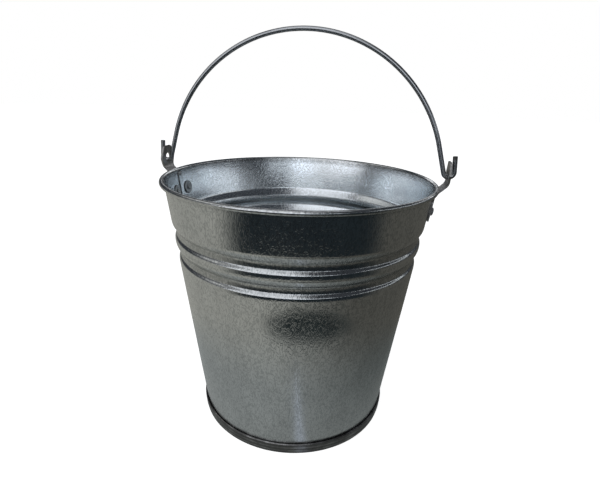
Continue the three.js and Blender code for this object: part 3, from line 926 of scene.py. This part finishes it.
wireLook = {
    **zincLook, "across": 210.0, "lengthwise": 0.05, "smudgeSize": 30.0, "crystalSize": 60.0,
    "dark": (0.42, 0.43, 0.44), "light": (0.50, 0.51, 0.52), "markScale": 40.0, "scratches": 0.04,
    "dirtAndShade": (0.09, 0.085, 0.08), "bright": (0.58, 0.59, 0.60),
    "smudgeShade": (0.92, 1.04), "roughness": 0.24, "grainRough": 0.05, "bump": 0.05,
}
# the sheet's inside is painted lighter and bluish, a painted light, and the panel is lighter than its
# painted-dark skirt, by the "inner" mask
sheetLook = {**zincLook, "insideTone": (0.86, 0.90, 0.925), "insideToneRough": 0.03}
panLook = {**baseLook, "insideTone": (0.60, 0.62, 0.63), "insideToneRough": 0.14}
finishes = {
    "galvanised_sheet": makeMetal("zincSheet", sheetLook),
    "base_sheet": makeMetal("basePanZinc", panLook),
    "rim_wire": makeMetal("rimHoopSteel", hoopLook),
    "ear_steel": makeMetal("earSteel", earLook),
    "rivet_steel": makeMetal("rivetSteel", rivetLook),
    "bail_wire": makeMetal("drawnWire", wireLook),
}
print("finishes made", len(finishes))


# Every piece rides on its body and stands for its CAD node

def finishPiece(piece, body, node, slotName):
    piece.data.materials.append(finishes[slotName])
    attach(piece, body)
    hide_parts(node)


finishPiece(makeBodySheet(), "pail", "body_wall", "galvanised_sheet")
finishPiece(makeRimHoop(), "pail", "rim_wire", "rim_wire")
finishPiece(makeBasePan(), "pail", "base_pan", "base_sheet")
print("body made")
swing = math.asin(rivetSizes["spacing"] / 2 / wallRadius)
for sideName, side, azimuth in (("right", 1, 0.0), ("left", -1, math.pi)):
    finishPiece(makeEar("ear" + sideName.title(), side), "pail", "ear_" + sideName, "ear_steel")
    for row, ahead in (("front", -1), ("rear", 1)):
        place = azimuth + ahead * side * swing
        end = sideName.title() + row.title()
        node = f"{sideName}_{row}"
        finishPiece(makeRivet("rivet" + end, place), "pail", "rivet_" + node, "rivet_steel")
        finishPiece(makeWasher("washer" + end, place), "pail", "rivet_washer_" + node, "rivet_steel")
finishPiece(makeBail(), "bail", "bail", "bail_wire")
print("ears, rivets and bail made")


# Floor and light

# The camera sees a plain pale floor. Reflections see another one, in metres from the pail's middle: tones
# that change from left to right and from near to far, a dim stretch in front that starts at dimFrom, a dark
# patch nearer, and a bluish streak at the foot. All were set for this camera. From other sides they
# show on the wall as dark rectangles.
# Painted light on that floor: to reflections it gives off light though it is no lamp; the dim stretch and the
# dark patch are painted shadows, and the bluish streak is a painted bright streak.
lightSizes = {
    "floorRadius": 9.0,
    "floorSides": 96,
    "floorGlow": 0.88,
    "floorColour": (0.86, 0.86, 0.85),
    "nearLeft": (0.290, 0.308, 0.304),
    "farLeft": (0.365, 0.365, 0.335),
    "nearRight": (0.076, 0.086, 0.084),
    "farRight": (0.092, 0.090, 0.080),
    "nearTo": 0.17,
    "farFrom": 0.31,
    "litFrom": -0.10,
    "litTo": 0.28,
    "dimColour": (0.016, 0.022, 0.026),
    "dimFrom": 0.415,
    "dimAzimuth": 17.0,
    "dimHalf": 59.0,
    "dimSoft": 13.0,
    "dimEdge": 0.03,
    "rightAzimuth": 100,            # left to right is measured towards this azimuth
    "patchColour": (0.014, 0.021, 0.023),
    "patchDistance": 0.30,
    "patchDepth": 0.033,
    "patchWidth": 0.17,
    "patchAside": 0.052,
    "streakColour": (0.42, 0.46, 0.52),
    "streakAside": 0.014,
    "streakWidth": 0.013,
    "streakFade": (0.25, 0.17),
    "skyBase": (0.045, 0.05, 0.058),
}
# soft boxes drawn in the sky: azimuth from the front towards the right and its half width, elevation and
# its half height, softness of the edge, colour, and which rays see it by Ray Depth: "all", "first" up to
# 1.5, or "later" beyond it. "later" is meant for light that bounces inside the pail, but such a box also
# shows in the outer grooves.
softBoxes = (
    (-17, 34, 28, 34, 16, (0.86, 0.88, 0.92), "all"),
    (-38, 16, 4, 6, 8, (0.30, 0.30, 0.32), "all"),
    (9, 9, 4, 6, 6, (0.25, 0.30, 0.38), "all"),
    (29, 15, 11, 5, 6, (0.80, 0.86, 0.92), "later"),
    (-90, 24, 42, 14, 12, (0.50, 0.50, 0.49), "all"),
    (-84, 26, 14, 18, 14, (0.36, 0.36, 0.35), "first"),
    (-72, 14, 18, 22, 14, (0.12, 0.12, 0.12), "later"),
    (100, 30, 17.5, 2.5, 4, (1.10, 1.14, 1.17), "later"),
    (176, 36, 17.5, 4.5, 5, (1.15, 1.17, 1.20), "all"),
    (0, 168, 90, 20, 12, (0.24, 0.25, 0.26), "all"),
    (0, 168, 90, 24, 14, (0.28, 0.28, 0.29), "later"),
)


def direction(azimuth, elevation):
    # azimuth 0 is the front (-Y) and 90 the right (+X)
    a, e = math.radians(azimuth), math.radians(elevation)
    return (math.sin(a) * math.cos(e), -math.cos(a) * math.cos(e), math.sin(e))


def makeSky():
    # white to the camera; every other ray sees the soft boxes over a dim base
    world = bpy.data.worlds.new("studioSky")
    tree = emptyTree(world)
    toward = addNode(tree, "ShaderNodeTexCoord").outputs["Generated"]
    light = lightSizes["skyBase"]
    level = vectorMath(tree, "NORMALIZE", vectorMath(tree, "MULTIPLY", toward, (1, 1, 0)))
    rise = doMath(tree, "ARCSINE", addNode(tree, "ShaderNodeSeparateXYZ", {0: toward}).outputs["Z"])
    path = addNode(tree, "ShaderNodeLightPath")
    later = doMath(tree, "GREATER_THAN", path.outputs["Ray Depth"], 1.5)
    seenBy = {"all": 1.0, "first": doMath(tree, "SUBTRACT", 1.0, later), "later": later}
    for azimuth, halfWidth, elevation, halfHeight, soft, colour, which in softBoxes:
        aim = vectorMath(tree, "DOT_PRODUCT", level, direction(azimuth, 0), "Value")
        off = doMath(tree, "ABSOLUTE", doMath(tree, "SUBTRACT", rise, math.radians(elevation)))
        edge, core = math.radians(halfWidth + soft / 2), math.radians(max(halfWidth - soft / 2, 0.5))
        sideways = mapRange(tree, aim, math.cos(edge), math.cos(core), 0.0, 1.0, smooth=True)
        edge, core = math.radians(halfHeight + soft / 2), math.radians(max(halfHeight - soft / 2, 0))
        upward = mapRange(tree, off, edge, core, 0.0, 1.0, smooth=True)
        amount = doMath(tree, "MULTIPLY", doMath(tree, "MULTIPLY", sideways, upward), seenBy[which])
        light = mixColour(tree, amount, light, colour, "ADD")
    lit = addNode(tree, "ShaderNodeBackground", {"Color": light, "Strength": 1.0})
    white = addNode(tree, "ShaderNodeBackground", {"Color": (1, 1, 1, 1), "Strength": 1.0})
    mix = addNode(tree, "ShaderNodeMixShader", {
        0: path.outputs["Is Camera Ray"], 1: lit.outputs[0], 2: white.outputs[0]})
    end = addNode(tree, "ShaderNodeOutputWorld")
    tree.links.new(mix.outputs[0], end.inputs["Surface"])
    scene.world = world


def makeFloor():
    # a round sheet, plain and pale to the camera; reflections see the dimmer tones of lightSizes
    s = lightSizes
    turn = np.linspace(0, 2 * math.pi, s["floorSides"], endpoint=False)
    rim = np.stack([np.cos(turn), np.sin(turn), 0 * turn], -1) * s["floorRadius"]
    mesh = bpy.data.meshes.new("floor")
    mesh.from_pydata(rim.tolist(), [], [list(range(s["floorSides"]))])
    floor = addObject("floor", mesh)
    material = bpy.data.materials.new("paleFloor")
    tree = emptyTree(material)
    here = addNode(tree, "ShaderNodeTexCoord").outputs["Object"]
    # metres towards the dim stretch, towards the right, and away from the pail's middle
    forward = vectorMath(tree, "DOT_PRODUCT", here, direction(s["dimAzimuth"], 0), "Value")
    sideways = vectorMath(tree, "DOT_PRODUCT", here, direction(s["rightAzimuth"], 0), "Value")
    away = vectorMath(tree, "LENGTH", here, output="Value")
    # the dim stretch in front: a painted shadow
    cosine = doMath(tree, "DIVIDE", forward, doMath(tree, "MAXIMUM", away, 0.001))
    wide, narrow = [math.cos(math.radians(s["dimHalf"] + k * s["dimSoft"])) for k in (1, -1)]
    sector = mapRange(tree, cosine, wide, narrow, 0.0, 1.0, smooth=True)
    edge = s["dimEdge"]
    beyond = mapRange(tree, away, s["dimFrom"] - edge, s["dimFrom"] + edge, 0.0, 1.0, smooth=True)
    dim = doMath(tree, "MULTIPLY", sector, beyond)
    lit = mapRange(tree, sideways, s["litFrom"], s["litTo"], 0.0, 1.0, smooth=True)
    far = mapRange(tree, away, s["nearTo"], s["farFrom"], 0.0, 1.0, smooth=True)
    left = mixColour(tree, far, s["nearLeft"], s["farLeft"])
    right = mixColour(tree, far, s["nearRight"], s["farRight"])
    seen = mixColour(tree, dim, mixColour(tree, lit, left, right), s["dimColour"])
    # the dark patch: a painted shadow
    patchX = doMath(tree, "DIVIDE", doMath(tree, "SUBTRACT", sideways, s["patchAside"]), s["patchWidth"])
    patchY = doMath(tree, "DIVIDE", doMath(tree, "SUBTRACT", away, s["patchDistance"]), s["patchDepth"])
    span = doMath(tree, "MULTIPLY_ADD", patchX, patchX, doMath(tree, "MULTIPLY", patchY, patchY))
    patch = mapRange(tree, span, 0.5, 1.5, 1.0, 0.0, smooth=True)
    patch = doMath(tree, "MULTIPLY", patch, mapRange(tree, forward, 0.0, 0.1, 0.0, 1.0))
    seen = mixColour(tree, patch, seen, s["patchColour"])
    # the bluish streak lies between the foot and the patch
    aside = doMath(tree, "ABSOLUTE", doMath(tree, "SUBTRACT", sideways, s["streakAside"]))
    streak = mapRange(tree, aside, 0.0, s["streakWidth"], 0.8, 0.0, smooth=True)
    streak = doMath(tree, "MULTIPLY", streak, mapRange(tree, away, *s["streakFade"], 0.0, 1.0, smooth=True))
    seen = mixColour(tree, streak, seen, s["streakColour"])
    # to reflections the floor gives off these painted light and painted shadows, though it is no lamp
    toMetal = addNode(tree, "ShaderNodeEmission", {"Color": seen, "Strength": 1.0})
    pale = addNode(tree, "ShaderNodeBsdfDiffuse", {"Color": (*s["floorColour"], 1)})
    glow = addNode(tree, "ShaderNodeEmission", {"Color": (1, 1, 1, 1), "Strength": s["floorGlow"]})
    toEye = addNode(tree, "ShaderNodeAddShader", {0: pale.outputs[0], 1: glow.outputs[0]})
    path = addNode(tree, "ShaderNodeLightPath")
    mix = addNode(tree, "ShaderNodeMixShader", {
        0: path.outputs["Is Camera Ray"], 1: toMetal.outputs[0], 2: toEye.outputs[0]})
    end = addNode(tree, "ShaderNodeOutputMaterial")
    tree.links.new(mix.outputs[0], end.inputs["Surface"])
    mesh.materials.append(material)


makeSky()
makeFloor()
print("floor and sky made")


# Camera: above the rim and ahead of the bucket, looking down into it

cameraSizes = {
    "azimuth": 11.0,
    "away": 0.4779,
    "height": 0.3709,
    "down": 18.92,
    "right": 0.33,
    "roll": 1.86,
    "lens": 25.87,
}


def makeCamera():
    s = cameraSizes
    turn, down = math.radians(s["azimuth"] - s["right"]), math.radians(s["down"])
    ahead = np.array([-math.sin(turn) * math.cos(down), math.cos(turn) * math.cos(down), -math.sin(down)])
    right = np.array([math.cos(turn), math.sin(turn), 0])
    up = np.cross(right, ahead)
    roll = math.radians(s["roll"])
    axisX = math.cos(roll) * right + math.sin(roll) * up
    axisY = -math.sin(roll) * right + math.cos(roll) * up
    data = bpy.data.cameras.new("camera")
    data.lens = s["lens"]
    data.sensor_width = 36
    data.clip_start = 0.02
    camera = addObject("camera", data)
    place = np.eye(4)
    place[:3, 0], place[:3, 1], place[:3, 2] = axisX, axisY, -ahead
    place[:3, 3] = np.array(direction(s["azimuth"], 0)) * s["away"] + [0, 0, s["height"]]
    camera.matrix_world = Matrix(place.tolist())
    scene.camera = camera


makeCamera()
scene.view_settings.view_transform = "Standard"
